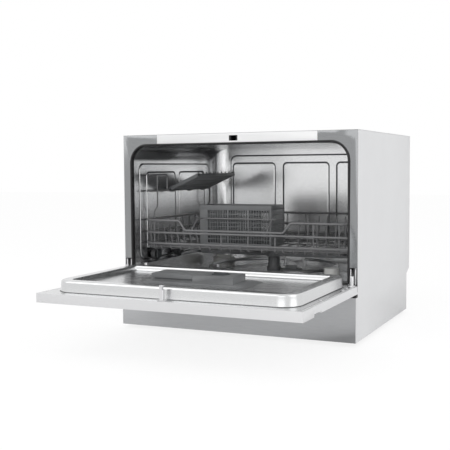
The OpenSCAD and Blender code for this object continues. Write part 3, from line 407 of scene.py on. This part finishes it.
# the section: how far in from the mouth's edge, and how far behind the front frame
lip = [(0, 0.9), (0, -0.5), (0.5, -1.6), (1.5, -2.2), (2.6, -2.25), (3.6, -1.8), (4.3, -0.9), (4.5, 0.4), (4.3, 1.7),
       (3.8, 2.7), (3.6, 10.5), (3.2, 10.9), (3.3, 1.2), (1.6, 0.9)]
rows = [seal_row(i, y) for i, y in lip + [lip[0]]]
n = len(rows[0])
v, f = loft(rows, closed=False)
f.append(tuple(k * n for k in range(len(lip))))
f.append(tuple(k * n + n - 1 for k in reversed(range(len(lip)))))
outward(piece("gasket", [(v, f)], "black_rubber", "cabinet", ["tub_gasket"], 50))

# ---- Cutlery basket: moulded lattice with a solid end and a rim ----
bx0, bx1, by0, by1, bz0, bz1 = -134, 46, 102, 180, 183.2, 277.2
WALL = 2.4  # thickness of its walls
SOLID_END = -113  # the lattice of the long walls begins right of this
DIVIDERS = (bx0 + 60, bx0 + 120)
parts = []
for y in (by0, by1 - WALL):
    parts.append(slab(bx0 + 0.06, SOLID_END, y + 0.06, y + WALL - 0.06, bz0 + 1, bz1 - 1, 1.5, 0.5, "xz"))
    parts.append(slab(bx0, bx1, y, y + WALL, bz1 - 11, bz1, 2.5, 0.7, "xz"))
    parts.append(slab(bx0, bx1, y, y + WALL, bz0, bz0 + 7, 1.5, 0.7, "xz"))
    parts.append(slab(bx1 - 5, bx1 - 0.06, y + 0.06, y + WALL - 0.06, bz0 + 1, bz1 - 1, 1.5, 0.7, "xz"))
    for x in np.linspace(SOLID_END, bx1 - 5, 25)[1:-1]:
        wide = 1.9 if abs(x + 61.7) > 2 and abs(x + 10.3) > 2 else 4.2
        parts.append(slab(x - wide / 2, x + wide / 2, y + 0.1, y + 2.3, bz0 + 5, bz1 - 9, 0.5, 0.35, "xz", 2))
    for z in np.linspace(bz0 + 7, bz1 - 11, 9)[1:-1]:
        parts.append(slab(-114, bx1 - 4, y + 0.5, y + 1.9, z - 0.8, z + 0.8, 0.5, 0.3, "xz", 2))
for x in (bx0, bx1 - WALL, *DIVIDERS):
    top = bz1 - 8 if x in DIVIDERS else bz1
    for z0, z1 in ((top - 10, top - 0.06), (bz0 + 0.06, bz0 + 6)):
        parts.append(slab(x + 0.12, x + 2.28, by0 + 1, by1 - 1, z0, z1, 1.5, 0.6, "yz"))
    for y in np.linspace(by0 + 4, by1 - 4, 12):
        parts.append(slab(x + 0.3, x + 2.1, y - 0.95, y + 0.95, bz0 + 3, top - 5, 0.5, 0.35, "yz", 2))
    for z in np.linspace(bz0 + 6, top - 10, 8)[1:-1]:
        parts.append(slab(x + 0.5, x + 1.9, by0 + 1, by1 - 1, z - 0.8, z + 0.8, 0.5, 0.3, "yz", 2))
for x in np.linspace(bx0 + 5, bx1 - 5, 26):
    parts.append(slab(x - 0.9, x + 0.9, by0 + 1, by1 - 1, bz0 + 0.14, bz0 + 2.2, 0.4, 0.3, "xy", 2))
for y in np.linspace(by0 + 5, by1 - 5, 9):
    parts.append(slab(bx0 + 1, bx1 - 1, y - 0.9, y + 0.9, bz0 + 0.22, bz0 + 2.1, 0.4, 0.3, "xy", 2))
piece("basket", parts, "gray_plastic", "rack", ["cutlery_basket"])

# ---- Cup shelf: ribbed plate that hangs on its wire by three clips ----
sx, sz = -238.75, 310.5  # the wire that it turns on
sy, sl, sw = 140, 205, 92  # where it begins, its length and its width
SHELF_TILT = 24
clip = [(2.45, 0), (4.7, 0), (4.9, 0.3), (4.9, 15.7), (4.7, 16), (2.45, 16), (2.45, 0)]
parts = [slab(5, sw, sy, sy + 4, -4, 4.2, 1.5, 0.7, "xz"),
         slab(5, sw, sy + sl - 4, sy + sl, -4, 4.2, 1.5, 0.7, "xz"),
         slab(5, 10, sy, sy + sl, -3.8, 1.5, 1.2, 0.6, "xz"),
         slab(sw - 4, sw, sy, sy + sl, -4, 2.5, 1.2, 0.7, "xz")]
for x in (sw * 0.36, sw * 0.66):
    parts.append(slab(x - 1.2, x + 1.2, sy + 2, sy + sl - 2, -3.6, -0.4, 0.6, 0.4, "xz"))
for y in np.linspace(sy, sy + sl, 24)[1:-1]:
    parts.append(slab(7, sw - 1, y - 1.1, y + 1.1, -3.9, 0.4, 0.6, 0.4, "xz", 2))
for y in np.linspace(sy + 6, sy + sl - 6, 10):
    parts.append(slab(sw - 3.6, sw - 0.6, y - 1.6, y + 1.6, 1.5, 7.2, 0.8, 0.6, "xz", 2))
for y in (sy + 12, sy + sl / 2, sy + sl - 28):
    parts.append(turned(clip, np.array([0, y, 0]), 28))
    parts.append(slab(3.5, 9, y, y + 16, -3.6, 1.8, 0.8, 0.5, "xz"))
parts = [spun((v + [sx, 0, sz], f), -SHELF_TILT, np.array([sx, 0, sz])) for v, f in parts]
piece("shelf", parts, "gray_plastic", "shelf", ["cup_shelf"])

# ---- Pressed panels of the tub's back, sides and ceiling ----
def pressing(outline, inner, wall, step, plane, low=0.08):
    """A raised field on a wall with sunk lines round smaller fields: its sheets and its lines. step is how far it
    stands out, signed, and low the part of it that the lines keep."""
    x0, x1, z0, z1, r_ = outline

    def rows(box, profile):
        return [place(ring(box[0] + i, box[1] - i, box[2] + i, box[3] - i, max(box[4] - i, 1), 8), plane,
                      wall + o * step) for i, o in profile]

    raised = [loft(rows(outline, [(0.3, 0.4), (0.9, 0.85), (1.8, 1.0)]))]
    lines = [loft(rows(outline, [(-2.2, 0.04), (-2.0, 0.1), (0, 0.1), (0.3, 0.4)]))]
    holes = [ring(b[0], b[1], b[2], b[3], b[4], 8) for b in inner]
    flat = plate(ring(x0 + 1.8, x1 - 1.8, z0 + 1.8, z1 - 1.8, max(r_ - 1.8, 1), 8), holes,
                 wall + step, wall + step, plane)
    k = len(flat[0]) // 2
    raised.append((flat[0][:k], [q for q in flat[1] if max(q) < k and len(q) == 3]))
    for b in inner:
        lines.append(loft(rows(b, [(0, 1.0), (0.2, low + 0.2), (0.6, low), (2.9, low), (3.3, low + 0.2)])))
        raised.append(loft(rows(b, [(3.3, low + 0.2), (3.8, 1.0), (4.6, 1.15), (5.4, 1.15)]), end=True))
    return raised, lines


TUB_BACK, TUB_SIDE, TUB_TOP = 440, 255, 415  # inner faces of the tub
back_fields = [(-203, -77, 168, 377.5, 12), (-57, 73, 168, 377.5, 12), (90, 203.5, 168, 377.5, 12)]
side_fields = [(62, 205, 170, 356, 12), (222, 366, 170, 356, 12)]
# the solid's own panels stand 1.5 mm in from the back wall, so these stand out further than the others
back, back_lines = pressing((-208, 208, 150, 395, 16), back_fields, TUB_BACK, -2.4, "xz", 0.69)
sides, side_lines = pressing((34, 392, 152, 373, 16), side_fields, TUB_SIDE, -1.6, "yz")
top, top_lines = pressing((-190, 190, 40, 400, 20), [], TUB_TOP, -1.4, "xy")
piece("tub_pressings", back + both(*sides) + top, "tub_steel", "cabinet", angle=50)
# the sunk lines are drawn in dark steel as painted shade in the grooves
piece("tub_line_shade", back_lines + both(*side_lines) + top_lines, "painted_shade_steel", "cabinet", angle=50)

# ---- Edges of the sheet metal and moulded pieces that stay as they are ----
CREASE = math.radians(40)  # edges sharper than this are rounded
# width of each rounding in mm
ROUNDED = {"top_panel": 0.5, "left_side_panel": 0.45, "right_side_panel": 0.45, "kick_plate": 0.4,
           "door_panel": 0.4, "control_panel": 0.7, "upper_beam": 0.3, "front_frame": 0.25,
           "grip_channel": 0.5, "dispenser_body": 0.8, "dispenser_lid": 0.8, "hinge_arms": 0.5,
           "latch_hook": 0.4, "wheel_brackets": 0.4, "front_wheels": 0.4, "middle_wheels": 0.4,
           "rear_wheels": 0.4, "float": 1.0, "softener_cap": 0.8, "filter_cylinder": 0.5, "spray_arm": 1.4,
           "spray_hub": 0.5, "rinse_aid_cap": 0.6, "door_lock": 0.3, "hinge_brackets": 0.3, "feet": 0.8,
           "display_window": 0.1, "power_button": 0.3, "program_button": 0.3, "delay_button": 0.3,
           "start_button": 0.3, "inlet_valve": 0.4, "drain_outlet": 0.4, "case_screws": 0.3,
           "liner_screws": 0.3}
for name, width in ROUNDED.items():
    o = nodes[name]
    for mod in list(o.modifiers):
        o.modifiers.remove(mod)
    o.modifiers.new("join", "WELD").merge_threshold = 0.000005  # 0.005 mm
    bev = o.modifiers.new("round", "BEVEL")
    bev.width = width / 1000
    bev.segments = 2
    bev.limit_method = "ANGLE"
    bev.angle_limit = CREASE
    bev.harden_normals = True
    o.modifiers.new("edges", "EDGE_SPLIT").split_angle = CREASE

# ---- Camera, at the photograph's place ----
yaw, pitch, roll = 0.441895, 0.0695848, -0.00768477  # radians
EYE = (0.732991, -1.59272 + FY / 1000, 0.36263)
SENSOR, LENS = 36.0, 65.394  # mm
d = np.array([-math.sin(yaw) * math.cos(pitch), math.cos(yaw) * math.cos(pitch), -math.sin(pitch)])
r = np.array([math.cos(yaw), math.sin(yaw), 0.0])
u = np.cross(r, d)
r2 = r * math.cos(roll) + u * math.sin(roll)
u2 = -r * math.sin(roll) + u * math.cos(roll)
cam = bpy.data.objects.new("camera", bpy.data.cameras.new("camera"))
cam.data.sensor_width = SENSOR
cam.data.lens = LENS
cam.data.clip_start = 0.01
m = Matrix([[r2[i], u2[i], -d[i]] for i in range(3)]).to_4x4()
m.translation = Vector(EYE)
cam.matrix_world = m
scene.collection.objects.link(cam)
scene.camera = cam


# ---- Floor and light ----
def lamp(name, size, power, where, target, height=None):
    """A white lamp of a width and a height, aimed at a point."""
    data = bpy.data.lights.new(name, "AREA")
    data.shape = "RECTANGLE"
    data.size = size
    data.size_y = height or size
    data.energy = power
    o = bpy.data.objects.new(name, data)
    o.location = where
    o.rotation_euler = (Vector(target) - Vector(where)).to_track_quat("-Z", "Y").to_euler()
    scene.collection.objects.link(o)


def seen(tree):
    """1 where the backdrop is seen, directly or in a mirror or glass; 0 where it only lights."""
    n = tree.nodes.new("ShaderNodeLightPath")
    rays = [Ex(tree, n.outputs[k]) for k in ("Is Camera Ray", "Is Glossy Ray", "Is Transmission Ray")]
    return (rays[0] + rays[1] + rays[2]).clamp()


FLOOR = 9  # half its side, m
GLOW = 1.06  # brightness of the floor where it is seen
GLOW_SHARE = 0.8  # the rest takes the object's shadow
AMBIENT = 0.72  # strength of the white surroundings where they only light

floor = bpy.data.objects.new("floor", bpy.data.meshes.new("floor"))
floor.data.from_pydata([(-FLOOR, -FLOOR, 0), (FLOOR, -FLOOR, 0), (FLOOR, FLOOR, 0), (-FLOOR, FLOOR, 0)], [],
                       [(0, 1, 2, 3)])
s = Shade("floor")
s.set(Base_Color=(0.9, 0.9, 0.9), Roughness=0.8)
glow = s.tree.nodes.new("ShaderNodeEmission")
glow.inputs["Strength"].default_value = GLOW
blend = s.tree.nodes.new("ShaderNodeMixShader")
s.tree.links.new((seen(s.tree) * GLOW_SHARE).socket, blend.inputs[0])
s.tree.links.new(s.bsdf.outputs[0], blend.inputs[1])
s.tree.links.new(glow.outputs[0], blend.inputs[2])
s.tree.links.new(blend.outputs[0], s.tree.nodes["Material Output"].inputs["Surface"])
floor.data.materials.append(s.mat)
scene.collection.objects.link(floor)

world = bpy.data.worlds.new("studio")
scene.world = world
world.use_nodes = True
tree = world.node_tree
tree.nodes["Background"].inputs["Color"].default_value = (1, 1, 1, 1)
tree.links.new((seen(tree) * (1 - AMBIENT) + AMBIENT).socket, tree.nodes["Background"].inputs["Strength"])
lamp("key", 2.6, 20, (-1.6, -1.8, 2.2), (0, -0.1, 0.2))
lamp("side", 1.6, 11, (2.4, -0.6, 1.3), (0.2, 0, 0.25), height=2.4)
lamp("front", 1.5, 5, (0.6, -2.4, 1.0), (0, 0, 0.25))
scene.view_settings.view_transform = "Standard"
